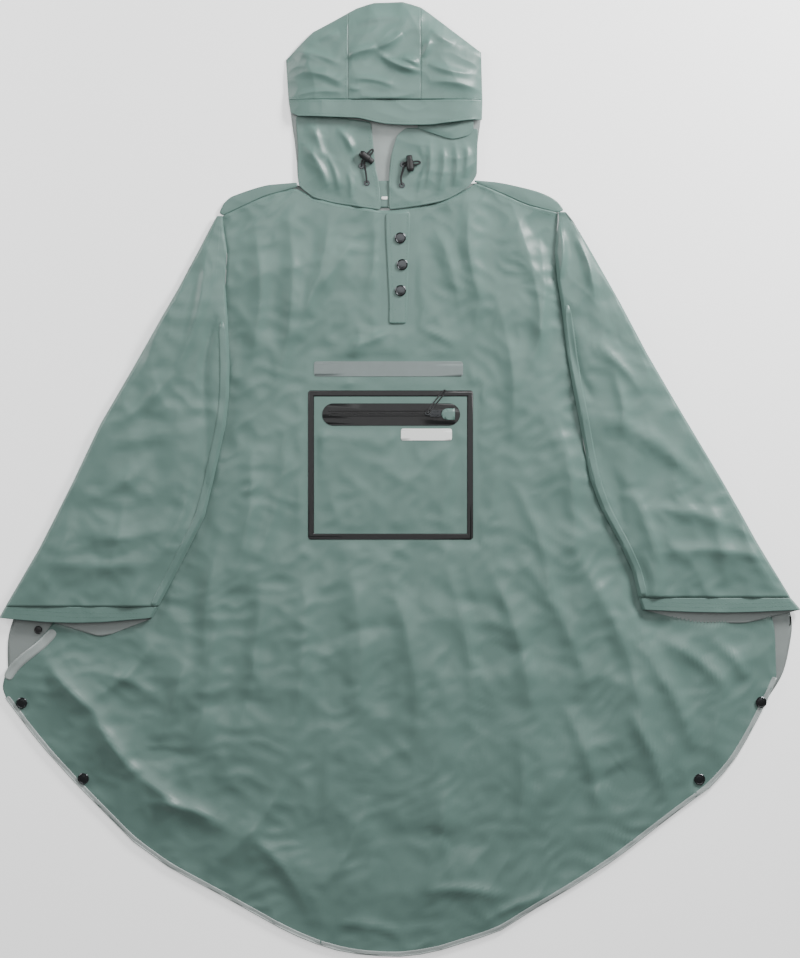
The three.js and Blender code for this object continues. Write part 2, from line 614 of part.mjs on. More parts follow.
// Pocket: welded tape round its bag, zip window, garage, label and reflective strip
const POCKET = { left: -124, right: 98.6, bottom: -81.7, top: 119.5, tape: 8 };
const WINDOW = { left: -105, right: 81, bottom: 72, top: 102 };
const frameShape = roundedRectangle(
  THREE.Shape, POCKET.left, POCKET.right, POCKET.bottom, POCKET.top, 4);
frameShape.holes.push(roundedRectangle(
  THREE.Path, POCKET.left + POCKET.tape, POCKET.right - POCKET.tape,
  POCKET.bottom + POCKET.tape, POCKET.top - POCKET.tape, 1));
add('pocket_tape', plate(frameShape, TRIM_LEVEL, TRIM, 3), 'tape');
const windowRadius = (WINDOW.top - WINDOW.bottom) / 2 - 0.01;
const windowShape = roundedRectangle(
  THREE.Shape, WINDOW.left, WINDOW.right, WINDOW.bottom, WINDOW.top, windowRadius);
add('zip_window', plate(windowShape, TRIM_LEVEL, TRIM, 8), 'tape');
const ZIP_LEVEL = TRIM_LEVEL + TRIM + GAP;
const garageShape = new THREE.Shape();
const GARAGE = { left: 56, right: 74, bottom: 80, top: 95 };
const garageMiddle = (GARAGE.bottom + GARAGE.top) / 2;
const garageRadius = (GARAGE.top - GARAGE.bottom) / 2;
garageShape.moveTo(GARAGE.right, GARAGE.bottom);
garageShape.lineTo(GARAGE.right, GARAGE.top);
garageShape.lineTo(GARAGE.left + garageRadius, GARAGE.top);
garageShape.absarc(GARAGE.left + garageRadius, garageMiddle, garageRadius, Math.PI / 2, Math.PI * 1.5);
add('zip_garage', plate(garageShape, ZIP_LEVEL, 1, 8), 'shell');
add('label', boxBetween(1.4, 70, 52, 68, TRIM_LEVEL, TRIM_LEVEL + TRIM), 'label');
add('reflective_strip', boxBetween(-116, 85, 138.4, 158.6, TRIM_LEVEL, TRIM_LEVEL + TRIM), 'reflective');

// Zip slider with a bridge that the pull's bar turns under
const ZIP_Y = 88.4;
const SLIDER = { left: 40, right: 55, halfWidth: 4.5, height: 3 };
const BRIDGE = { left: 43, right: 53.5, halfWidth: 1.5, post: 1.5, rise: 3.5, bar: 1.2 };
const sliderTop = ZIP_LEVEL + SLIDER.height;
const sliderBody = boxBetween(
  SLIDER.left, SLIDER.right, ZIP_Y - SLIDER.halfWidth, ZIP_Y + SLIDER.halfWidth, ZIP_LEVEL, sliderTop);
const bridgeBase = sliderTop - 0.5;
const bridgeTop = sliderTop + BRIDGE.rise;
const bridgeBlock = boxBetween(
  BRIDGE.left, BRIDGE.right, ZIP_Y - BRIDGE.halfWidth, ZIP_Y + BRIDGE.halfWidth, bridgeBase, bridgeTop);
const bridgeHollow = boxBetween(
  BRIDGE.left + BRIDGE.post, BRIDGE.right - BRIDGE.post, ZIP_Y - 3, ZIP_Y + 3,
  sliderTop, bridgeTop - BRIDGE.bar);
add('zip_slider', cutFrom(joined(sliderBody, bridgeBlock), bridgeHollow), 'snap');

const PULL = { axisX: 50.8, axisZ: sliderTop + 1.15, bar: 0.75, thickness: 1.4, half: 3.4 };
const TAB = { inside: 9.2, reach: 17, tipHalf: 2.2, eye: 14, eyeRadius: 1.4 };
const tabShape = new THREE.Shape();
tabShape.moveTo(0, -PULL.half);
tabShape.lineTo(0, PULL.half);
tabShape.lineTo(-TAB.inside, PULL.half);
tabShape.lineTo(-TAB.reach + TAB.tipHalf, TAB.tipHalf);
tabShape.absarc(-TAB.reach + TAB.tipHalf, 0, TAB.tipHalf, Math.PI / 2, Math.PI * 1.5);
tabShape.lineTo(-TAB.inside, -PULL.half);
const tabHole = new THREE.Path();
const holeHalf = BRIDGE.halfWidth + 0.6;
tabHole.moveTo(-0.7, -holeHalf);
tabHole.lineTo(-TAB.inside, -holeHalf);
tabHole.lineTo(-TAB.inside, holeHalf);
tabHole.lineTo(-0.7, holeHalf);
const tabEye = new THREE.Path();
tabEye.absarc(-TAB.eye, 0, TAB.eyeRadius, 0, Math.PI * 2);
tabShape.holes.push(tabHole, tabEye);
const tabPlate = plate(tabShape, -PULL.thickness / 2, PULL.thickness, 6);
const pin = new THREE.CylinderGeometry(PULL.bar, PULL.bar, PULL.half * 2, 16);
const pull = joined(tabPlate, tidy(pin));
pull.translate(PULL.axisX, ZIP_Y, PULL.axisZ);
add('zip_pull', pull, 'snap');

// Cords
const PULL_CORD_RADIUS = 0.9;
const onTab = PULL.axisZ + PULL.thickness / 2 + GAP + PULL_CORD_RADIUS;
const onTape = TRIM_LEVEL + TRIM + GAP + PULL_CORD_RADIUS;
const PULL_CORD = table(['x', 'y', 'z'], [
  [36.4, 88.9, onTab], [39, 94, onTab - 0.6], [44, 101, onTape + 1.4], [51.5, 110.5, onTape + 0.3],
  [58, 118.6, onTape], [60.8, 119.6, onTape], [61, 116.6, onTape], [54, 107.6, onTape + 0.2],
  [46.4, 98.6, onTape + 1.2], [41.6, 91.9, onTab - 0.1], [38.9, 87.7, onTab],
]).map((p) => new THREE.Vector3(p.x, p.y, p.z));
add('zip_pull_cord', cordTube(PULL_CORD, PULL_CORD_RADIUS, 40), 'cord');

const CORD_RADIUS = 1.3;
const EYELET = { outer: 4, hole: 1.8, height: 0.8 };
const LOCK = { radius: 5, half: 11 };
const eyeletLevel = NECK_TOP + GAP;
const cordLevel = eyeletLevel + EYELET.height + GAP + CORD_RADIUS;
const lockLevel = NECK_TOP + GAP + LOCK.radius;
const STRAND = 1.7; // each strand's distance from the lock's middle
const DRAWCORDS = table(['side', 'x', 'y', 'barrel', 'upperX', 'upperY', 'lowerX', 'lowerY'], [
  ['left', -45, 433, -38, -52, 422, -44.6, 399], ['right', 13.5, 425, 96, 4, 424, 2.7, 396],
]);
for (const cord of DRAWCORDS) {
  const angle = THREE.MathUtils.degToRad(cord.barrel);
  const barrel = new THREE.Vector2(Math.cos(angle), Math.sin(angle));
  const through = cord.side === 'left'
    ? new THREE.Vector2(-barrel.y, barrel.x) : new THREE.Vector2(barrel.y, -barrel.x);
  const firstSide = -1;
  const place = (forward, sideways, z) => new THREE.Vector3(
    cord.x + through.x * forward + barrel.x * sideways,
    cord.y + through.y * forward + barrel.y * sideways, z);
  const sideSign = cord.side === 'left' ? firstSide : -firstSide;
  const a = STRAND * sideSign;
  const route = [
    new THREE.Vector3(cord.upperX, cord.upperY, cordLevel),
    place(-7.5, a, lockLevel - 0.8), place(-4, a, lockLevel), place(0, a, lockLevel),
    place(4, a, lockLevel), place(8.5, a * 1.2, lockLevel - 0.6), place(12, a * 0.9, lockLevel - 1.2),
    place(13.6, 0, lockLevel - 1.5), place(12, -a * 0.9, lockLevel - 1.2),
    place(8.5, -a * 1.2, lockLevel - 0.6), place(4, -a, lockLevel), place(0, -a, lockLevel),
    place(-4, -a, lockLevel), place(-7.5, -a * 1.1, lockLevel - 0.8),
    new THREE.Vector3(cord.lowerX - 1.2, (cord.lowerY * 2 + cord.y) / 3 + 1, cordLevel + 0.3),
    new THREE.Vector3(cord.lowerX, cord.lowerY, cordLevel),
  ];
  add(`drawcord_${cord.side}`, cordTube(route, CORD_RADIUS, 44), 'cord');

  const profile = table(['r', 'z'], [
    [0, -LOCK.half], [LOCK.radius * 0.62, -LOCK.half], [LOCK.radius * 0.86, -LOCK.half + 1.6],
    [LOCK.radius, -LOCK.half + 4], [LOCK.radius, LOCK.half * 0.35], [LOCK.radius * 0.8, LOCK.half * 0.42],
    [LOCK.radius * 0.8, LOCK.half - 1], [LOCK.radius * 0.66, LOCK.half], [0, LOCK.half],
  ]);
  const body = turned(profile, 16);
  body.rotateY(Math.PI / 2);
  const slotHalf = STRAND + CORD_RADIUS + 0.35;
  const slot = boxBetween(-slotHalf, slotHalf, -8, 8, -CORD_RADIUS - 0.35, CORD_RADIUS + 0.35);
  const lock = cutFrom(body, slot);
  lock.rotateZ(angle);
  lock.translate(cord.x, cord.y, lockLevel);
  add(`cord_lock_${cord.side}`, lock, 'plastic');

  const eyelets = table(['name', 'x', 'y'], [
    ['upper', cord.upperX, cord.upperY], ['lower', cord.lowerX, cord.lowerY],
  ]);
  for (const eyelet of eyelets) {
    const ring = turned(table(['r', 'z'], [
      [EYELET.hole, 0], [EYELET.outer, 0], [EYELET.outer * 0.9, EYELET.height],
      [EYELET.hole, EYELET.height], [EYELET.hole, 0],
    ]), 16);
    ring.translate(eyelet.x, eyelet.y, eyeletLevel);
    add(`eyelet_${cord.side}_${eyelet.name}`, ring, 'snap');
  }
}

export default poncho;
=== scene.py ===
"""Hooded cycling rain poncho, laid flat with its front up, for Blender 4.5.

Each cloth piece is a thin shell on the form of its CAD solid, cut finer and creased.
Sizes are in metres unless a name ends in MM.
"""

import math

import bmesh
import bpy
import numpy as np
from bpy.props import FloatProperty, FloatVectorProperty, IntProperty, PointerProperty
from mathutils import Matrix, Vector, noise
from mathutils.bvhtree import BVHTree


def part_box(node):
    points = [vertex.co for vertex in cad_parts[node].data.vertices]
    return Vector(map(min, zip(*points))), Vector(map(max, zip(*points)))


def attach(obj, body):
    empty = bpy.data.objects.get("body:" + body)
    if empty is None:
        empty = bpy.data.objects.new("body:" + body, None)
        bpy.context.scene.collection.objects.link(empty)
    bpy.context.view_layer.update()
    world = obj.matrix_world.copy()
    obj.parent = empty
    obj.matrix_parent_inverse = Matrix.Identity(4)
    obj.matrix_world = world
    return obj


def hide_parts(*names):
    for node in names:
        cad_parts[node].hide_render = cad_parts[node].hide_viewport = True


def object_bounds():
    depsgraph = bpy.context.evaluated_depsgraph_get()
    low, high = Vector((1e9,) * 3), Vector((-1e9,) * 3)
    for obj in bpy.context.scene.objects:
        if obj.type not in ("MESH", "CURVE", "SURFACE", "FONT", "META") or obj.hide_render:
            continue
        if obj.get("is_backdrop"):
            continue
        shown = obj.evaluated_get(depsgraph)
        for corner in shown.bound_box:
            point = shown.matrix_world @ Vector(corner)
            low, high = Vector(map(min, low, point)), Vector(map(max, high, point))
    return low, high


bl_info = {
    "name": "Rain poncho, laid flat",
    "version": (1, 0, 0),
    "blender": (4, 5, 0),
    "location": "View3D > Sidebar > Poncho",
    "description": "Builds a hooded cycling rain poncho as it lies on a table",
    "category": "Add Mesh",
}

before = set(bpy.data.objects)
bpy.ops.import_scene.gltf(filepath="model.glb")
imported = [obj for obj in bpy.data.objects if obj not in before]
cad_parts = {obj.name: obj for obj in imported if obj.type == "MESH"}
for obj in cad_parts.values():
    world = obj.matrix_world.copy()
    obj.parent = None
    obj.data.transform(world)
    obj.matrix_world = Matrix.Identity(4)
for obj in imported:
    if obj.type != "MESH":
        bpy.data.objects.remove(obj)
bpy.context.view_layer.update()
MM = 0.001
GARMENT = "garment"
PULL = "zip_pull"


# Sizes and colours that a user would change


def srgb(text):
    """An sRGB hex colour as linear RGB."""
    channels = [int(text[i : i + 2], 16) / 255 for i in (1, 3, 5)]
    return [c / 12.92 if c <= 0.04045 else ((c + 0.055) / 1.055) ** 2.4 for c in channels]


def colour(name, text, description):
    return FloatVectorProperty(
        name=name, description=description, default=srgb(text), subtype="COLOR", size=3, min=0, max=1
    )


def length(name, value, description):
    return FloatProperty(name=name, description=description, default=value, unit="LENGTH", min=0)


class PonchoCloth(bpy.types.PropertyGroup):
    """The coated cloth and its creases."""

    shell: colour("Shell", "#5F7A73", "Outside of the coated nylon")
    # The shell shade is painted shade: a darker copy of the shell colour, mixed in over broad random patches
    # to stand in for uneven light, not a thicker coating
    shade: colour("Shell shade", "#506B64", "Outside where the coating lies thicker")
    lining: colour("Lining", "#8F9795", "Silver-grey coating on the inside")
    binding: colour("Binding", "#9AA3A1", "Woven binding round the hem and cuffs")
    thickness: length("Thickness", 0.5 * MM, "Wall of the cloth as seen at an edge")
    crease: FloatProperty(name="Crease", description="Height of the hand-placed creases", default=2.0, min=0)
    crumple: length("Crumple", 2.4 * MM, "Height of the fine creasing of a folded garment")


class PonchoTrims(bpy.types.PropertyGroup):
    """Tape, label, snaps, zip and cords."""

    tape: colour("Tape", "#0C0D0E", "Welded tape and zip window")
    reflective: colour("Reflective", "#7A8584", "Beaded reflective film")
    label: colour("Label", "#E6E9E6", "Bare woven label")
    metal: colour("Snap", "#46484A", "Nickel-plated snap caps")
    plastic: colour("Plastic", "#141415", "Moulded cord locks")
    cord: colour("Cord", "#131415", "Braided elastic cord")
    thread: colour("Thread", "#567A6E", "Sewing thread")
    stitch: length("Stitch", 3.2 * MM, "Length of one stitch")
    gap: length("Stitch gap", 1.3 * MM, "Gap between stitches")
    sides: IntProperty(name="Piping sides", description="Sides of the piping", default=8, min=6, max=16)


class PonchoStage(bpy.types.PropertyGroup):
    """Camera and light."""

    lens: FloatProperty(name="Lens", description="Focal length", default=85, min=20, unit="CAMERA")
    margin: FloatProperty(name="Margin", description="Frame height over garment height", default=1.005, min=1)
    key: FloatProperty(name="Key light", description="Power of the upper right softbox", default=70, min=0)
    fill: FloatProperty(name="Fill light", description="Power of the overhead softbox", default=22, min=0)


# Materials

# The floor gives a little light of its own, so that it stays pale between the lamps
FLOOR_GLOW = 0.62
WORLD_STRENGTH = 0.3
DRY_CREASE_MM = 38
DRY_CREASE_STRENGTH = 0.35
DRY_CREASE_DEPTH = 0.05


def dim(shade, by):
    """A linear colour made darker."""
    return [channel * by for channel in shade]


def node(tree, kind, settings=None, values=None, links=None):
    """Add one node: its own settings, its input values, and links as {input: (node, output)}."""
    made = tree.nodes.new(kind)
    for name, value in (settings or {}).items():
        setattr(made, name, value)
    for name, value in (values or {}).items():
        made.inputs[name].default_value = value
    for name, (other, output) in (links or {}).items():
        tree.links.new(other.outputs[output], made.inputs[name])
    return made


def finish_material(name, base, other, roughness, metallic=0.0, sheen=0.0, coat=0.0, grain_mm=2.0,
                    bump=0.1, mottle_mm=70.0, spread=0.08, fine=True, wrinkle_mm=0.0, glow=0.0):
    """A Principled material with mottled colour (on the shell, patches of painted shade), uneven gloss and a
    grain, all sized in millimetres.
    """
    material = bpy.data.materials.new(name)
    material.use_nodes = True
    tree = material.node_tree
    tree.nodes.clear()
    output = node(tree, "ShaderNodeOutputMaterial")
    shader = node(tree, "ShaderNodeBsdfPrincipled", None, {
        "Metallic": metallic, "Sheen Weight": sheen, "Sheen Roughness": 0.4, "Coat Weight": coat,
        "Coat Roughness": 0.3, "Emission Color": (1, 1, 1, 1), "Emission Strength": glow,
    })
    place = node(tree, "ShaderNodeTexCoord")
    # broad noise that mixes in the second colour: random tone, and on the shell painted shade
    mottle_and_shade = node(tree, "ShaderNodeTexNoise", None, {"Scale": 1 / (mottle_mm * MM), "Detail": 4},
                  {"Vector": (place, "Object")})
    grain = node(tree, "ShaderNodeTexNoise", None, {"Scale": 1 / (grain_mm * MM), "Detail": 2 if fine else 0},
                 {"Vector": (place, "Object")})
    mix = node(tree, "ShaderNodeMix", {"data_type": "RGBA"}, {"A": (*base, 1), "B": (*other, 1)},
               {"Factor": (mottle_and_shade, "Fac")})
    gloss = node(tree, "ShaderNodeMapRange", None,
                 {"To Min": max(roughness - spread, 0), "To Max": min(roughness + spread, 1)},
                 {"Value": (grain, "Fac")})
    relief = node(tree, "ShaderNodeBump", None, {"Strength": bump, "Distance": grain_mm * MM * 0.2},
                  {"Height": (grain, "Fac")})
    if wrinkle_mm:
        # fine dry creasing of a coated cloth, too small for its mesh
        lines = node(tree, "ShaderNodeTexNoise", {"noise_type": "RIDGED_MULTIFRACTAL"},
                     {"Scale": 1 / (wrinkle_mm * MM), "Detail": 3, "Roughness": 0.45, "Distortion": 0.6},
                     {"Vector": (place, "Object")})
        depth = wrinkle_mm * MM * DRY_CREASE_DEPTH
        relief = node(tree, "ShaderNodeBump", None, {"Strength": DRY_CREASE_STRENGTH, "Distance": depth},
                      {"Height": (lines, "Fac"), "Normal": (relief, "Normal")})
    tree.links.new(mix.outputs[2], shader.inputs["Base Color"])
    tree.links.new(gloss.outputs["Result"], shader.inputs["Roughness"])
    tree.links.new(relief.outputs["Normal"], shader.inputs["Normal"])
    tree.links.new(shader.outputs["BSDF"], output.inputs["Surface"])
    return material


MATERIALS = {}


def make_materials():
    cloth = bpy.context.scene.poncho_cloth
    trims = bpy.context.scene.poncho_trims
    # Coated nylon taffeta: a tight weave under a coating, a soft sheen and broad dull highlights; its darker
    # second colour is painted shade in broad random patches
    MATERIALS["shell"] = finish_material(
        "coated_nylon", cloth.shell, cloth.shade, 0.42, sheen=0.12, grain_mm=1.6, bump=0.12,
        wrinkle_mm=DRY_CREASE_MM)
    # Silver-pigmented polyurethane coating: pale, slightly metallic, satin
    MATERIALS["lining"] = finish_material(
        "silver_coating", cloth.lining, dim(cloth.lining, 0.82), 0.42, metallic=0.35, grain_mm=2.5,
        mottle_mm=25)
    # Satin polyester binding, its cross ribs drawn coarser than real so that they show
    MATERIALS["binding"] = finish_material(
        "woven_binding", cloth.binding, dim(cloth.binding, 0.8), 0.4, sheen=0.3, grain_mm=1.2, bump=0.3,
        mottle_mm=12)
    # Heat-welded polyurethane film: near-black, smooth, satin
    MATERIALS["tape"] = finish_material(
        "welded_film", trims.tape, dim(trims.tape, 1.5), 0.4, grain_mm=3, bump=0.08, mottle_mm=20)
    # Glass-bead reflective film: even grey with a metallic cast
    MATERIALS["reflective"] = finish_material(
        "beaded_film", trims.reflective, dim(trims.reflective, 0.85), 0.5, metallic=0.3, grain_mm=1.2,
        bump=0.15, mottle_mm=15)
    # Damask label: matt, fine threads
    MATERIALS["label"] = finish_material(
        "damask_label", trims.label, dim(trims.label, 0.93), 0.75, sheen=0.2, grain_mm=1.0, bump=0.3)
    # Nickel-plated brass: mirror-like with faint pressing marks
    MATERIALS["metal"] = finish_material(
        "nickel_plate", trims.metal, dim(trims.metal, 0.7), 0.24, metallic=1.0, grain_mm=4, bump=0.03,
        mottle_mm=6, spread=0.06)
    # Acetal: moulded black plastic, satin
    MATERIALS["plastic"] = finish_material(
        "moulded_acetal", trims.plastic, dim(trims.plastic, 1.8), 0.38, grain_mm=1.0, bump=0.08,
        mottle_mm=8)
    # Braided elastic: matt with a fine braid
    MATERIALS["cord"] = finish_material(
        "braided_cord", trims.cord, dim(trims.cord, 2.2), 0.8, sheen=0.2, grain_mm=0.9, bump=0.5,
        mottle_mm=4)
    MATERIALS["thread"] = finish_material(
        "sewing_thread", trims.thread, dim(trims.thread, 0.8), 0.7, grain_mm=1.0, bump=0.1)
    MATERIALS["floor"] = finish_material(
        "painted_board", srgb("#FBFBFB"), srgb("#F6F7F7"), 0.8, grain_mm=8, bump=0.02,
        mottle_mm=300, glow=FLOOR_GLOW)


# Creases: a row for each, in millimetres: from, to, half width, height (less than 0 for a trough)

BODY_CREASES = (
    (-52, 205, -118, 40, 9, 2.2), (-8, 205, -70, 178, 6, 1.6), (10, 208, 80, 176, 6, 1.4),
    (-60, 335, -118, 250, 12, 2.5), (-96, 352, -150, 180, 14, 3), (-150, 360, -168, 120, 12, 3),
    (-196, 340, -200, 160, 11, 3), (-30, 350, -45, 250, 9, 1.8), (40, 350, 80, 230, 11, 2.2),
    (92, 372, 112, 235, 12, 3), (150, 372, 190, 130, 13, 3.4), (188, 330, 178, 150, 9, 2.4),
    (128, 250, 150, 40, 13, 2.6), (196, 120, 236, -110, 14, 3.2), (150, 0, 205, -160, 12, 2.6),
    (-150, 60, -210, -140, 13, 2.6), (-200, 40, -232, -160, 12, 3), (-235, -60, -262, -260, 12, 2.6),
    (-476, -244, -413, -313, 10, 4), (-413, -313, -350, -402, 11, 5), (-350, -402, -300, -448, 9, 3),
    (-342, -435, -244, -462, 8, 3.4), (-290, -240, -330, -360, 12, 3.6), (-330, -220, -420, -300, 10, 3),
    (-250, -150, -300, -420, 15, 3.5), (-190, -130, -240, -400, 13, 2.8), (-130, -120, -170, -420, 14, 2.6),
    (-70, -110, -60, -330, 13, 2), (-20, -110, 20, -400, 14, 2.4), (60, -110, 96, -330, 12, 2.4),
    (110, -100, 180, -330, 14, 3), (150, -90, 260, -300, 13, 3), (230, -90, 330, -330, 14, 3.4),
    (300, -200, 400, -370, 13, 3.4), (340, -210, 450, -290, 11, 3), (300, -300, 360, -440, 12, 3.2),
    (220, -300, 270, -470, 13, 2.8), (160, -330, 150, -520, 12, 2.4), (60, -400, 30, -560, 12, 2.2),
    (-40, -420, -110, -560, 12, 2.4), (-150, -400, -250, -520, 12, 2.8), (-210, -470, -120, -590, 9, 2.2),
    (30, -556, 150, -566, 8, 2.6), (110, -600, 210, -560, 7, 1.8), (-90, -600, 10, -618, 8, 1.8),
    (-20, -480, 120, -500, 12, -2), (-300, -320, -170, -300, 14, -2.2), (80, -240, 210, -215, 14, -2),
    (-110, -220, 10, -200, 13, -1.6), (60, -160, 160, -190, 12, -1.6), (-420, -260, -330, -290, 9, 2.4),
    (420, -215, 470, -270, 9, 2.6), (240, -420, 330, -400, 10, -2), (-380, -380, -260, -380, 11, -2.2),
)
SLEEVE_CREASES = (
    (-262, 300, -300, 150, 8, 2.6), (-285, 262, -340, 160, 8, 2), (-250, 217, -262, 79, 6, -2.6),
    (-262, 79, -285, -60, 7, -2.2), (-300, 150, -390, 70, 10, 2.4), (-275, 60, -400, 40, 9, 2.2),
    (-280, 20, -330, -120, 10, 2.6), (-330, 30, -430, -30, 10, 2.2), (-300, -60, -420, -80, 9, 2),
    (-330, -110, -480, -110, 10, 2.2), (-370, -20, -420, -180, 10, 2), (-440, -40, -500, -170, 10, 2.4),
    (-345, -130, -370, -190, 8, 1.8), (216, 340, 214, 268, 7, 4), (236, 330, 262, 240, 7, 3),
    (225, 215, 262, 100, 7, -2.2), (250, 190, 330, 110, 9, 2.2), (262, 80, 370, 40, 10, 2.4),
    (270, 30, 300, -80, 9, -2.4), (300, 60, 420, -10, 10, 2.2), (310, -10, 350, -150, 9, 2.8),
    (340, -40, 460, -70, 10, 2), (350, -100, 500, -110, 9, 2), (400, 0, 440, -150, 11, 2.2),
    (455, -40, 505, -150, 9, 2), (325, -95, 345, -165, 7, 2.4), (290, 140, 300, 60, 8, 2),
)
HOOD_CREASES = (
    (-72, 567, -30, 580, 5, 3), (-30, 580, 4, 601, 5, 3), (-27, 571, 28, 548, 4, 3),
    (2, 566, 27, 556, 4, 2.4),
    (-61, 539, -8, 529, 4, 1.8), (-70, 527, -54, 525, 3, 1.2), (29, 566, 40, 592, 4, 2),
    (-140, 575, -80, 558, 6, 2),
    (-130, 548, -76, 532, 6, 1.8), (36, 560, 100, 545, 6, 2), (40, 535, 105, 524, 5, 1.6),
    (-60, 612, 0, 622, 6, 1.6), (40, 606, 75, 585, 6, 1.8), (-140, 516, -75, 520, 4, 1.2),
    (-50, 516, 20, 519, 4, 1.2), (-110, 590, -80, 600, 6, 1.6),
)
NECK_CREASES = (
    (-130, 452, -96, 392, 6, 2.2), (-122, 480, -104, 430, 6, 2), (-84, 474, -58, 428, 5, 2),
    (-100, 440, -82, 388, 5, 1.8), (-70, 415, -66, 378, 4, 1.2), (40, 455, 34, 388, 5, 1.6),
    (58, 450, 52, 386, 5, 1.8), (74, 452, 72, 392, 5, 1.8), (90, 450, 86, 404, 5, 1.8),
    (28, 448, 24, 384, 4, 1.4),
)
# Places where the cloth lies still under something hard: x, y, radius in millimetres
CALM_SPOTS = (
    (0.5, 325, 9), (3, 289, 9), (0.7, 254, 9), (-510, -302, 10), (-427, -404, 10), (487, -301, 10),
    (404, -405, 10), (-45, 430, 17), (-45, 405, 9), (13.5, 425, 17),
    (3, 400, 9), (-52, 422, 7), (-20, 379, 7),
)
CALM_BOXES = (
    (-112, 88, 66, 108), (-26, 20, 205, 366), (-127, -113, -85, 123), (88, 102, -85, 123),
    (-127, 102, -85, -71), (-127, 102, 108, 123), (-119, 88, 135, 162), (0, 72, 49, 71),
)
CALM_RUN_MM = 9.0
# Height of the placket flap over the front: x, then lift, both in millimetres. It sinks in to the right.
FLAP_FALL = ((-14, 2, 11), (1.2, 0.9, 0.15))


def creases(x, y, rows):
    """Summed height of soft ridges and troughs at arrays x and y, all in millimetres."""
    total = np.zeros_like(x)
    for x0, y0, x1, y1, width, height in rows:
        dx, dy = x1 - x0, y1 - y0
        along = np.clip(((x - x0) * dx + (y - y0) * dy) / (dx * dx + dy * dy), 0, 1)
        # a slight bow, so that no crease is ruled straight
        bow = 0.06 * math.hypot(dx, dy) * np.sin(math.pi * along) * (1 if (x0 + y1) % 2 else -1)
        side = ((x - x0) * dy - (y - y0) * dx) / math.hypot(dx, dy) - bow
        past = np.hypot(x - x0 - along * dx, y - y0 - along * dy)
        away = np.where((along > 0) & (along < 1), np.abs(side), np.hypot(past, bow)) / width
        taper = np.sin(math.pi * np.clip(along, 0.03, 0.97)) ** 0.7
        total += height * taper * (0.55 * np.exp(-away) + 0.45 * np.exp(-away * away))
    return total


def calm(x, y):
    """0 where the cloth must lie still, rising to 1 away from there."""
    keep = np.ones_like(x)
    for cx, cy, radius in CALM_SPOTS:
        keep *= np.clip((np.hypot(x - cx, y - cy) - radius) / CALM_RUN_MM, 0, 1)
    for left, right, bottom, top in CALM_BOXES:
        past = np.maximum(np.maximum(left - x, x - right), np.maximum(bottom - y, y - top))
        keep *= np.clip(past / CALM_RUN_MM, 0, 1)
    return keep


def uncovered(co, nodes):
    """0 for points with one of these CAD nodes over them, where creases would rise into it."""
    if not nodes:
        return 1.0
    tree = surface_of(*[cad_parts[n] for n in nodes])
    above = [tree.ray_cast(Vector((x, y, -0.01)), Vector((0, 0, 1)))[0] is not None for x, y, _z in co]
    return np.where(above, 0.0, 1.0)


# Sizes in millimetres of the fine creasing, how sharp its ridges are, and how much of each is mixed in
CRUMPLE_MM = (62.0, 24.0, 13.0)
CRUMPLE_SHARP = (3.4, 3.2)
CRUMPLE_SHARE = (0.6, 0.32, 0.12)
BEND_MM = 22
BEND_RUN_MM = 90


def crumple(points, seed):
    """Fine creasing at points in millimetres: ridged noise at two sizes and a little plain noise."""
    large, small, fine = CRUMPLE_MM
    out = np.empty(len(points))
    for i, (x, y, _z) in enumerate(points):
        bend = BEND_MM * noise.noise(Vector((x / BEND_RUN_MM, y / BEND_RUN_MM, seed)))
        a = noise.noise(Vector(((x + bend) / large, (y - bend) / (large * 1.5), seed + 3)))
        b = noise.noise(Vector(((x - bend) / (small * 1.4), (y + bend) / small, seed + 7)))
        c = noise.noise(Vector((x / fine, y / fine, seed + 11)))
        ridges = (1 - CRUMPLE_SHARP[0] * abs(a), 1 - CRUMPLE_SHARP[1] * abs(b), c)
        out[i] = sum(share * part for share, part in zip(CRUMPLE_SHARE, ridges))
    return out


# Cloth shells


def deselect():
    for item in bpy.context.selected_objects:
        item.select_set(False)


def shell_mesh(name, side):
    """One side of a CAD solid's wall as a bmesh: 'top', 'under', or 'round' for the outside of a tube."""
    bm = bmesh.new()
    bm.from_mesh(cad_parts[name].data)
    bmesh.ops.remove_doubles(bm, verts=bm.verts, dist=1e-6)
    bmesh.ops.recalc_face_normals(bm, faces=bm.faces)
    if side == "round":
        rim = [f for f in bm.faces if abs(f.normal.y) > 0.6]
    else:
        rim = [f for f in bm.faces if abs(f.normal.z) < 0.25]
    bmesh.ops.delete(bm, geom=rim, context="FACES")
    left = set(bm.faces)
    islands = []
    while left:
        island, queue = set(), [left.pop()]
        while queue:
            face = queue.pop()
            island.add(face)
            for edge in face.edges:
                for other in edge.link_faces:
                    if other in left:
                        left.discard(other)
                        queue.append(other)
        islands.append(island)
    if side == "round":
        score = lambda island: sum(f.calc_area() for f in island)
    else:
        sign = 1 if side == "top" else -1
        score = lambda island: sum(sign * f.normal.z * f.calc_area() for f in island)
    best = max(islands, key=score)
    drop = [f for f in bm.faces if f not in best]
    bmesh.ops.delete(bm, geom=drop, context="FACES")
    loose = [v for v in bm.verts if not v.link_faces]
    bmesh.ops.delete(bm, geom=loose, context="VERTS")
    return bm


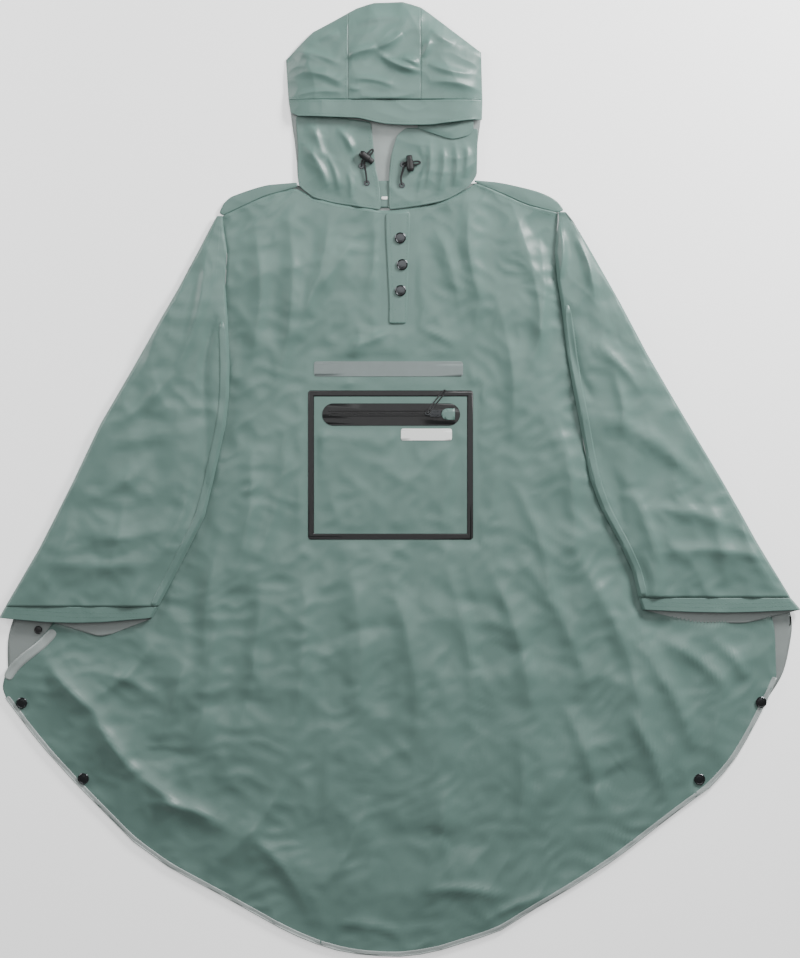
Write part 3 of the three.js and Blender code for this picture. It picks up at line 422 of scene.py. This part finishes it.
def relax(bm, rounds, rounds_outline):
    """Turn facets into a smooth surface: heights inside, and the outline along itself."""
    bm.verts.ensure_lookup_table()
    bm.verts.index_update()
    edges = np.array([[v.index for v in e.verts] for e in bm.edges])
    rim_edges = np.array([[v.index for v in e.verts] for e in bm.edges if e.is_boundary])
    co = np.array([v.co for v in bm.verts])
    inside = np.ones(len(co), bool)
    inside[rim_edges.ravel()] = False
    count = np.bincount(edges.ravel(), minlength=len(co))[:, None]
    for _ in range(rounds):
        near = np.zeros_like(co)
        np.add.at(near, edges[:, 0], co[edges[:, 1]])
        np.add.at(near, edges[:, 1], co[edges[:, 0]])
        near /= count
        co[inside, 2] += 0.6 * (near[inside, 2] - co[inside, 2])
    rim_count = np.maximum(np.bincount(rim_edges.ravel(), minlength=len(co)), 1)[:, None]
    rim = ~inside
    for _ in range(rounds_outline):
        near = np.zeros_like(co)
        np.add.at(near, rim_edges[:, 0], co[rim_edges[:, 1]])
        np.add.at(near, rim_edges[:, 1], co[rim_edges[:, 0]])
        near /= rim_count
        co[rim] += 0.5 * (near[rim] - co[rim])
    return co


def surface_of(*objects):
    """A search tree over finished pieces, to lay others on."""
    vertices, faces = [], []
    for item in objects:
        start = len(vertices)
        vertices += [v.co.copy() for v in item.data.vertices]
        faces += [[start + i for i in p.vertices] for p in item.data.polygons]
    return BVHTree.FromPolygons(vertices, faces)


def height_on(tree, x, y, fallback):
    hit = tree.ray_cast(Vector((x, y, 0.2)), Vector((0, 0, -1)))[0]
    return fallback if hit is None else hit.z


def object_from(bm, name, materials):
    mesh = bpy.data.meshes.new(name)
    bm.to_mesh(mesh)
    bm.free()
    made = bpy.data.objects.new(name, mesh)
    bpy.context.scene.collection.objects.link(made)
    for key in materials:
        mesh.materials.append(MATERIALS[key])
    mesh.polygons.foreach_set("use_smooth", [True] * len(mesh.polygons))
    return made


def declare(made, body, slot_name, *nodes):
    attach(made, body)
    if nodes:
        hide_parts(*nodes)
    return made


SHEETS = {}


def cloth(name, cuts, side="top", rows=(), seed=0.0, amount=1.0, outside="shell", inside="lining",
          slot_name="shell_fabric", lay_on=None, lift=0.35, thickness=None, is_sheet=True, limit=None,
          rounds=24, outline=6, below=(), fall=None):
    """Make a cloth piece on its CAD solid: cut finer, smoothed, creased and given its wall."""
    settings = bpy.context.scene.poncho_cloth
    bm = shell_mesh(name, side)
    if cuts:
        bmesh.ops.subdivide_edges(bm, edges=bm.edges[:], cuts=cuts, use_grid_fill=True)
    bm.normal_update()
    up = np.array([v.normal.z for v in bm.verts])
    co = relax(bm, rounds, outline)
    points = co * 1000
    shift = np.zeros(len(co))
    if amount:
        shift = creases(points[:, 0], points[:, 1], rows) * MM * settings.crease
        shift += crumple(points, seed) * settings.crumple * amount
        shift *= calm(points[:, 0], points[:, 1])
        shift *= uncovered(co, below)
    if side == "under":
        shift = np.clip(-shift, 0, 0.5 * MM)
        shift = np.abs(shift)
    elif side == "round":
        shift *= np.clip(up, 0, 1)
        shift = np.maximum(shift, -2.2 * MM)
    elif limit is not None:
        shift = np.clip(shift, -limit * MM, None)
    co[:, 2] += shift
    if lay_on is not None:
        for i, (x, y, z) in enumerate(co):
            up_by = lift if fall is None else np.interp(x / MM, *fall)
            co[i, 2] = height_on(lay_on, x, y, z) + up_by * MM
    for vert, place in zip(bm.verts, co):
        vert.co = place
    made = object_from(bm, name + "_cloth", (outside, inside))
    wall = made.modifiers.new("wall", "SOLIDIFY")
    wall.thickness = thickness or settings.thickness
    wall.offset = -1
    wall.material_offset = 1
    wall.material_offset_rim = 0
    deselect()
    bpy.context.view_layer.objects.active = made
    bpy.ops.object.modifier_apply(modifier=wall.name)
    declare(made, GARMENT, slot_name, name)
    if is_sheet:
        SHEETS[name] = made
    return made


def declare_sheet(node_name, round_tube=False):
    low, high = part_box(node_name)
    width, depth = high.x - low.x, high.y - low.y
    if round_tube:
        width *= 2


# Small sewn things


def tube_along(points, radius, sides, name, material):
    """A closed tube mesh along points, for piping and other thin lines."""
    bm = bmesh.new()
    rings = []
    points = [Vector(p) for p in points]
    for i, place in enumerate(points):
        ahead = (points[min(i + 1, len(points) - 1)] - points[max(i - 1, 0)]).normalized()
        across = ahead.cross(Vector((0, 0, 1))).normalized()
        over = across.cross(ahead).normalized()
        ring = []
        for k in range(sides):
            turn = 2 * math.pi * k / sides
            ring.append(bm.verts.new(place + radius * (math.cos(turn) * across + math.sin(turn) * over)))
        rings.append(ring)
    for a, b in zip(rings, rings[1:]):
        for k in range(sides):
            bm.faces.new((a[k], a[(k + 1) % sides], b[(k + 1) % sides], b[k]))
    bm.faces.new(list(reversed(rings[0])))
    bm.faces.new(rings[-1])
    bmesh.ops.recalc_face_normals(bm, faces=bm.faces)
    return object_from(bm, name, (material,))


def even(points, step):
    """Points along a polyline at even steps, with the direction at each."""
    points = np.array(points, float)
    lengths = np.concatenate([[0], np.cumsum(np.linalg.norm(np.diff(points[:, :2], axis=0), axis=1))])
    at = np.arange(0, lengths[-1], step)
    out = np.column_stack([np.interp(at, lengths, points[:, k]) for k in range(points.shape[1])])
    ahead = np.gradient(out[:, :2], axis=0) if len(out) > 1 else np.array([[1.0, 0.0]])
    return out, ahead / np.maximum(np.linalg.norm(ahead, axis=1), 1e-9)[:, None]


def dashes(name, lines, tree, material, size, gap, width, lift, slot_name):
    """Rows of stitches, or other short raised marks, on a surface: lines hold (x, y) in millimetres."""
    bm = bmesh.new()
    for line in lines:
        places, ahead = even(np.array(line) * MM, size + gap)
        for (x, y), (ux, uy) in zip(places, ahead):
            z = height_on(tree, x, y, None) if tree else None
            if z is None:
                continue
            ends = []
            for share, spread in ((-0.5, 0.35), (-0.2, 1.0), (0.2, 1.0), (0.5, 0.35)):
                px, py = x + ux * size * share, y + uy * size * share
                pz = height_on(tree, px, py, z)
                pz = pz if abs(pz - z) < 2 * MM else z
                half = width * spread / 2
                rise = lift if spread == 1.0 else -0.1 * MM
                ends.append([
                    bm.verts.new((px - uy * half, py + ux * half, pz - 0.15 * MM)),
                    bm.verts.new((px, py, pz + rise)),
                    bm.verts.new((px + uy * half, py - ux * half, pz - 0.15 * MM)),
                ])
            for a, b in zip(ends, ends[1:]):
                for k in range(3):
                    bm.faces.new((a[k], b[k], b[(k + 1) % 3], a[(k + 1) % 3]))
            bm.faces.new(ends[0])
            bm.faces.new(list(reversed(ends[-1])))
    bmesh.ops.recalc_face_normals(bm, faces=bm.faces)
    made = object_from(bm, name, (material,))
    return declare(made, GARMENT, slot_name)


def smooth_line(points, per_span=8):
    """A centripetal-like smooth curve through points, as a dense polyline."""
    points = [Vector(p) for p in points]
    out = []
    for i in range(len(points) - 1):
        a, b = points[max(i - 1, 0)], points[i]
        c, d = points[i + 1], points[min(i + 2, len(points) - 1)]
        for k in range(per_span):
            t = k / per_span
            out.append(0.5 * ((2 * b) + (c - a) * t + (2 * a - 5 * b + 4 * c - d) * t * t
                              + (3 * b - a - 3 * c + d) * t ** 3))
    return out + [points[-1]]


def cord_curve(name, route_mm, diameter, far_end, body, node_name):
    points = smooth_line([tuple(v * MM for v in p) for p in route_mm])
    data = bpy.data.curves.new(name, "CURVE")
    data.dimensions = "3D"
    data.bevel_depth = diameter / 2
    data.bevel_resolution = 3
    data.use_fill_caps = True
    spline = data.splines.new("POLY")
    spline.points.add(len(points) - 1)
    for item, place in zip(spline.points, points):
        item.co = (*place, 1)
    spline.use_smooth = True
    data.materials.append(MATERIALS["cord"])
    made = bpy.data.objects.new(name, data)
    bpy.context.scene.collection.objects.link(made)
    declare(made, body, "cord", node_name)
    run = sum((b - a).length for a, b in zip(points, points[1:]))
    return made, tuple(points[0]), run


# Routes of the cords, the same points as their CAD solids, in millimetres
NECK_TOP = 4.2
CORD_LEVEL = 6.9
LOCK_LEVEL = 9.5
STRAND = 1.7
DRAWCORDS = (
    ("left", -45, 433, -38, (-52, 422), (-44.6, 399)),
    ("right", 13.5, 425, 96, (4, 424), (2.7, 396)),
)
TAB_LEVEL = 9.95
TAPE_LEVEL = 4.8
PULL_CORD = (
    (36.4, 88.9, TAB_LEVEL), (39, 94, TAB_LEVEL - 0.6), (44, 101, TAPE_LEVEL + 1.4),
    (51.5, 110.5, TAPE_LEVEL + 0.3), (58, 118.6, TAPE_LEVEL), (60.8, 119.6, TAPE_LEVEL),
    (61, 116.6, TAPE_LEVEL), (54, 107.6, TAPE_LEVEL + 0.2), (46.4, 98.6, TAPE_LEVEL + 1.2),
    (41.6, 91.9, TAB_LEVEL - 0.1), (38.9, 87.7, TAB_LEVEL),
)


def drawcord_route(x, y, barrel_degrees, upper, lower, side):
    turn = math.radians(barrel_degrees)
    bx, by = math.cos(turn), math.sin(turn)
    tx, ty = (-by, bx) if side == "left" else (by, -bx)
    a = -STRAND if side == "left" else STRAND

    def place(forward, sideways, drop):
        return (x + tx * forward + bx * sideways, y + ty * forward + by * sideways, LOCK_LEVEL - drop)

    steps = (
        (-7.5, a, 0.8), (-4, a, 0), (0, a, 0), (4, a, 0), (8.5, a * 1.2, 0.6), (12, a * 0.9, 1.2),
        (13.6, 0, 1.5), (12, -a * 0.9, 1.2), (8.5, -a * 1.2, 0.6), (4, -a, 0), (0, -a, 0), (-4, -a, 0),
        (-7.5, -a * 1.1, 0.8),
    )
    return [
        (*upper, CORD_LEVEL), *[place(*step) for step in steps],
        (lower[0] - 1.2, (lower[1] * 2 + y) / 3 + 1, CORD_LEVEL + 0.3), (*lower, CORD_LEVEL),
    ]


# Operators


class PONCHO_OT_stage(bpy.types.Operator):
    """Add the floor, the softboxes and the camera that looks straight down"""

    bl_idname = "poncho.stage"
    bl_label = "Stage"

    def execute(self, context):
        make_materials()
        settings = context.scene.poncho_stage
        low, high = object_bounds()
        deselect()
        floor_size = 9.0
        bpy.ops.mesh.primitive_plane_add(size=floor_size, location=(0, 0, -0.0006))
        floor = context.object
        floor.name = "floor"
        floor.data.materials.append(MATERIALS["floor"])
        floor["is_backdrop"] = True

        data = bpy.data.cameras.new("camera")
        data.lens = settings.lens
        data.sensor_fit = "VERTICAL"
        data.sensor_height = 24
        height = (high.y - low.y) * settings.margin
        camera = bpy.data.objects.new("camera", data)
        context.scene.collection.objects.link(camera)
        distance = height * data.lens / data.sensor_height
        camera.location = ((low.x + high.x) / 2, (low.y + high.y) / 2, distance)
        context.scene.camera = camera

        lights = (
            ("key", (1.25, 1.35, 0.85), 0.5, settings.key),
            ("overhead", (0.1, 0.9, 2.3), 1.6, settings.fill),
            ("side", (-1.5, 0.9, 0.6), 0.7, settings.key * 0.22),
        )
        for name, place, size, power in lights:
            lamp = bpy.data.lights.new(name, "AREA")
            lamp.size = size
            lamp.energy = power
            made = bpy.data.objects.new(name, lamp)
            context.scene.collection.objects.link(made)
            made.location = place
            aim = Vector((0.05, 0.0, 0)) - Vector(place)
            made.rotation_euler = aim.to_track_quat("-Z", "Y").to_euler()
        world = bpy.data.worlds.new("studio")
        world.use_nodes = True
        background = world.node_tree.nodes["Background"]
        background.inputs["Color"].default_value = (1, 1, 1, 1)
        background.inputs["Strength"].default_value = WORLD_STRENGTH
        context.scene.world = world
        return {"FINISHED"}


class PONCHO_OT_body(bpy.types.Operator):
    """Make the back and front panels, the shoulders and the bound edges"""

    bl_idname = "poncho.body"
    bl_label = "Body"

    def execute(self, context):
        cloth("back_panel", 7, side="under", seed=5, amount=0.35)
        over = ("sleeve_left", "sleeve_right", "cuff_left", "cuff_right")
        front = cloth("front_panel", 6, rows=BODY_CREASES, seed=1, limit=0.9, below=over)
        tree = surface_of(front)
        cloth("yoke_left", 5, seed=2, amount=0.3)
        cloth("yoke_right", 5, seed=3, amount=0.3)
        hem = cloth("hem_binding", 3, outside="binding", inside="binding", slot_name="binding", lay_on=tree,
                    is_sheet=False, amount=0)
        edge = cloth("edge_binding_left", 3, outside="binding", inside="binding", slot_name="binding",
                     lay_on=tree, is_sheet=False, amount=0)
        # the bound edge stands a little proud: a bead along the outline of the binding
        bm = shell_mesh("hem_binding", "top")
        rim = sorted({v for e in bm.edges if e.is_boundary for v in e.verts}, key=lambda v: v.co.x)
        outer = [v.co.copy() for v in rim if outermost(v.co, rim)]
        bm.free()
        bead = tube_along(outer, 1.1 * MM, context.scene.poncho_trims.sides, "hem_bead", "binding")
        declare(bead, GARMENT, "binding")
        self.trim = (hem, edge, bead)
        declare_sheet("back_panel")
        declare_sheet("front_panel")
        for name in ("yoke_left", "yoke_right"):
            declare_sheet(name)
        return {"FINISHED"}


def outermost(place, rim):
    """True for a point of the hem's outer line: none of the rim lies further from the middle near it."""
    centre = Vector((0, 60 * MM, 0))
    mine = (place - centre).xy
    for other in rim:
        away = (other.co - centre).xy
        if abs(mine.angle(away)) < 0.012 and away.length > mine.length + 4 * MM:
            return False
    return True


class PONCHO_OT_sleeves(bpy.types.Operator):
    """Make both sleeves with their underarm seams and cuffs"""

    bl_idname = "poncho.sleeves"
    bl_label = "Sleeves"

    def execute(self, context):
        for side, seed in (("left", 11), ("right", 12)):
            sleeve = cloth("sleeve_" + side, 8, side="round", rows=SLEEVE_CREASES, seed=seed, rounds=30)
            cuff = cloth("cuff_" + side, 9, side="round", seed=seed, amount=0.12, rounds=6, outline=4)
            tree = surface_of(sleeve)
            seam = cloth("underarm_seam_" + side, 4, amount=0, lay_on=tree, slot_name="seam_tape",
                         is_sheet=False, inside="shell")
            declare_sheet("sleeve_" + side, True)
            declare_sheet("cuff_" + side, True)
        return {"FINISHED"}


class PONCHO_OT_hood(bpy.types.Operator):
    """Make the hood: back, neck, crown, brim, facing and collar"""

    bl_idname = "poncho.hood"
    bl_label = "Hood"

    def execute(self, context):
        cloth("hood_back", 7, side="under", seed=21, amount=0.3)
        cloth("collar_facing", 4, seed=22, amount=0.1)
        for side, seed in (("left", 23), ("right", 24)):
            cloth("hood_neck_" + side, 7, rows=NECK_CREASES, seed=seed, amount=0.6, limit=0.2)
        for part, seed in (("left", 25), ("centre", 25), ("right", 25)):
            cloth("hood_crown_" + part, 7, rows=HOOD_CREASES, seed=seed, amount=0.7, limit=1.5, outline=0)
        cloth("hood_brim", 7, seed=26, amount=0.5, limit=1.0, rows=(), outline=0)
        cloth("brim_facing", 6, seed=27, amount=0.4, limit=0.2)
        for name in ("hood_back", "collar_facing", "hood_neck_left", "hood_neck_right", "hood_crown_left",
                     "hood_crown_centre", "hood_crown_right", "hood_brim", "brim_facing"):
            declare_sheet(name)
        return {"FINISHED"}


class PONCHO_OT_trims(bpy.types.Operator):
    """Make the placket, pocket tape, zip window, label and reflective strip"""

    bl_idname = "poncho.trims"
    bl_label = "Placket and pocket"

    def execute(self, context):
        tree = surface_of(SHEETS["front_panel"])
        flap = cloth("placket_flap", 5, seed=31, amount=0.0, lay_on=tree, fall=FLAP_FALL)
        declare_sheet("placket_flap")
        thin = 0.35 * MM
        for name, cuts, outside, slot_name in (
            ("pocket_tape", 3, "tape", "welded_tape"), ("zip_window", 3, "tape", "welded_tape"),
            ("zip_garage", 2, "shell", "shell_fabric"), ("label", 4, "label", "label"),
            ("reflective_strip", 4, "reflective", "reflective_tape"), ("collar_tag", 2, "label", "label"),
        ):
            base = None if name in ("zip_garage", "collar_tag") else tree
            cloth(name, cuts, outside=outside, inside=outside, slot_name=slot_name, lay_on=base, amount=0,
                  thickness=thin, is_sheet=False, rounds=0, outline=0, lift=0.45)
        # the coil of the zip, under the slit of its window
        window = surface_of(bpy.data.objects["zip_window_cloth"])
        dashes("zip_coil", [[(-92, 88.4), (40, 88.4)]], window, "plastic", 0.9 * MM, 0.6 * MM, 3.4 * MM,
               0.55 * MM, "moulded_plastic")
        low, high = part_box("zip_window")
        lips = [[(-96, 91.6), (44, 91.6)], [(-96, 85.2), (44, 85.2)]]
        for i, line in enumerate(lips):
            places, _ = even(np.array(line) * MM, 4 * MM)
            points = [(x, y, height_on(window, x, y, high.z) + 0.15 * MM) for x, y in places]
            declare(tube_along(points, 0.55 * MM, 6, f"zip_lip_{i + 1}", "tape"), GARMENT, "welded_tape")
        return {"FINISHED"}


class PONCHO_OT_hardware(bpy.types.Operator):
    """Finish the snaps, eyelets, zip slider, pull tab and cord locks"""

    bl_idname = "poncho.hardware"
    bl_label = "Hardware"

    def execute(self, context):
        finishes = (
            ("placket_snap", "metal"), ("hem_snap", "metal"), ("eyelet", "metal"), ("zip_slider", "metal"),
            ("zip_pull", "metal"), ("cord_lock", "plastic"), ("inner_snap", "plastic"),
        )
        for name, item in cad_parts.items():
            for start, finish in finishes:
                if name.startswith(start) and name != "zip_pull_cord":
                    item.data.materials.clear()
                    item.data.materials.append(MATERIALS[finish])
        return {"FINISHED"}


class PONCHO_OT_cords(bpy.types.Operator):
    """Make the two drawcords and the zip's pull cord"""

    bl_idname = "poncho.cords"
    bl_label = "Cords"

    def execute(self, context):
        for side, x, y, barrel, upper, lower in DRAWCORDS:
            route = drawcord_route(x, y, barrel, upper, lower, side)
            made, start, run = cord_curve(
                f"drawcord_{side}_braid", route, 2.6 * MM, "object", GARMENT, "drawcord_" + side)
        made, start, run = cord_curve("zip_pull_braid", PULL_CORD, 1.8 * MM, "bare", PULL, "zip_pull_cord")
        return {"FINISHED"}


# Stitch rows on the front, in millimetres
BODY_ROWS = (
    ((-136, 391), (-118, 375), (-88, 367), (-20, 357)), ((22, 363), (62, 371), (90, 387), (99, 398)),
    ((-15, 229), (-2, 229)), ((-15, 211), (6, 211)), ((10, 355), (7, 215)), ((-13, 350), (-9, 215)),
    ((-238, 350), (-181, 377), (-140, 388)), ((101, 396), (135, 382), (169, 366), (212, 354)),
)
SLEEVE_ROWS = (
    ((-246, 214), (-243, 129), (-246, 79), (-262, 0), (-270, -36), (-290, -82), (-318, -140)),
    ((234, 205), (246, 120), (254, 60), (268, 0), (284, -40), (308, -90), (330, -150)),
    ((-520, -176), (-440, -180), (-345, -181)), ((340, -166), (440, -168), (525, -166)),
    ((-520, -181), (-440, -186), (-345, -186)), ((340, -171), (440, -173.5), (525, -171)),
)
HOOD_ROWS = (
    ((-148, 514), (108, 514)), ((-146, 508), (108, 508)), ((-73, 516), (-73, 622)), ((31, 516), (31, 630)),
    ((-68, 565), (26, 565)), ((-140, 493), (-57, 490), (-23, 482), (40, 480), (98, 488)),
)
NECK_ROWS = (
    ((-43, 475), (-40, 450), (-37, 415), (-33, 402), (-30, 374)), ((-8, 437), (-11, 410), (-11.5, 374)),
    ((-134, 400), (-118, 384), (-88, 376), (-34, 368)), ((-10, 368), (22, 372), (62, 380), (90, 396)),
)


class PONCHO_OT_stitches(bpy.types.Operator):
    """Sew the visible rows of stitching on the finished pieces"""

    bl_idname = "poncho.stitches"
    bl_label = "Stitches"

    def execute(self, context):
        trims = context.scene.poncho_trims
        groups = (
            ("body", BODY_ROWS, ("front_panel", "placket_flap")),
            ("sleeve", SLEEVE_ROWS, ("sleeve_left", "sleeve_right", "cuff_left", "cuff_right")),
            ("hood", HOOD_ROWS, ("hood_crown_left", "hood_crown_centre", "hood_crown_right", "hood_brim")),
            ("neck", NECK_ROWS, ("hood_neck_left", "hood_neck_right")),
        )
        for name, rows, onto in groups:
            tree = surface_of(*[SHEETS[n] for n in onto])
            dashes(f"stitches_{name}", rows, tree, "thread", trims.stitch, trims.gap, 0.9 * MM, 0.3 * MM,
                   "shell_fabric")
        return {"FINISHED"}


class PONCHO_PT_panel(bpy.types.Panel):
    """The poncho's pieces"""

    bl_label = "Rain poncho"
    bl_space_type = "VIEW_3D"
    bl_region_type = "UI"
    bl_category = "Poncho"

    def draw(self, context):
        for operator in OPERATORS:
            self.layout.operator(operator.bl_idname)


OPERATORS = (
    PONCHO_OT_stage, PONCHO_OT_cords, PONCHO_OT_body, PONCHO_OT_sleeves, PONCHO_OT_hood, PONCHO_OT_trims,
    PONCHO_OT_hardware, PONCHO_OT_stitches,
)
GROUPS = (PonchoCloth, PonchoTrims, PonchoStage)


def register():
    for item in (*GROUPS, *OPERATORS, PONCHO_PT_panel):
        bpy.utils.register_class(item)
    bpy.types.Scene.poncho_cloth = PointerProperty(type=PonchoCloth)
    bpy.types.Scene.poncho_trims = PointerProperty(type=PonchoTrims)
    bpy.types.Scene.poncho_stage = PointerProperty(type=PonchoStage)


def unregister():
    del bpy.types.Scene.poncho_cloth
    del bpy.types.Scene.poncho_trims
    del bpy.types.Scene.poncho_stage
    for item in reversed((*GROUPS, *OPERATORS, PONCHO_PT_panel)):
        bpy.utils.unregister_class(item)


def main():
    register()
    for operator in OPERATORS:
        group, name = operator.bl_idname.split(".")
        getattr(getattr(bpy.ops, group), name)()


if __name__ == "__main__":
    main()
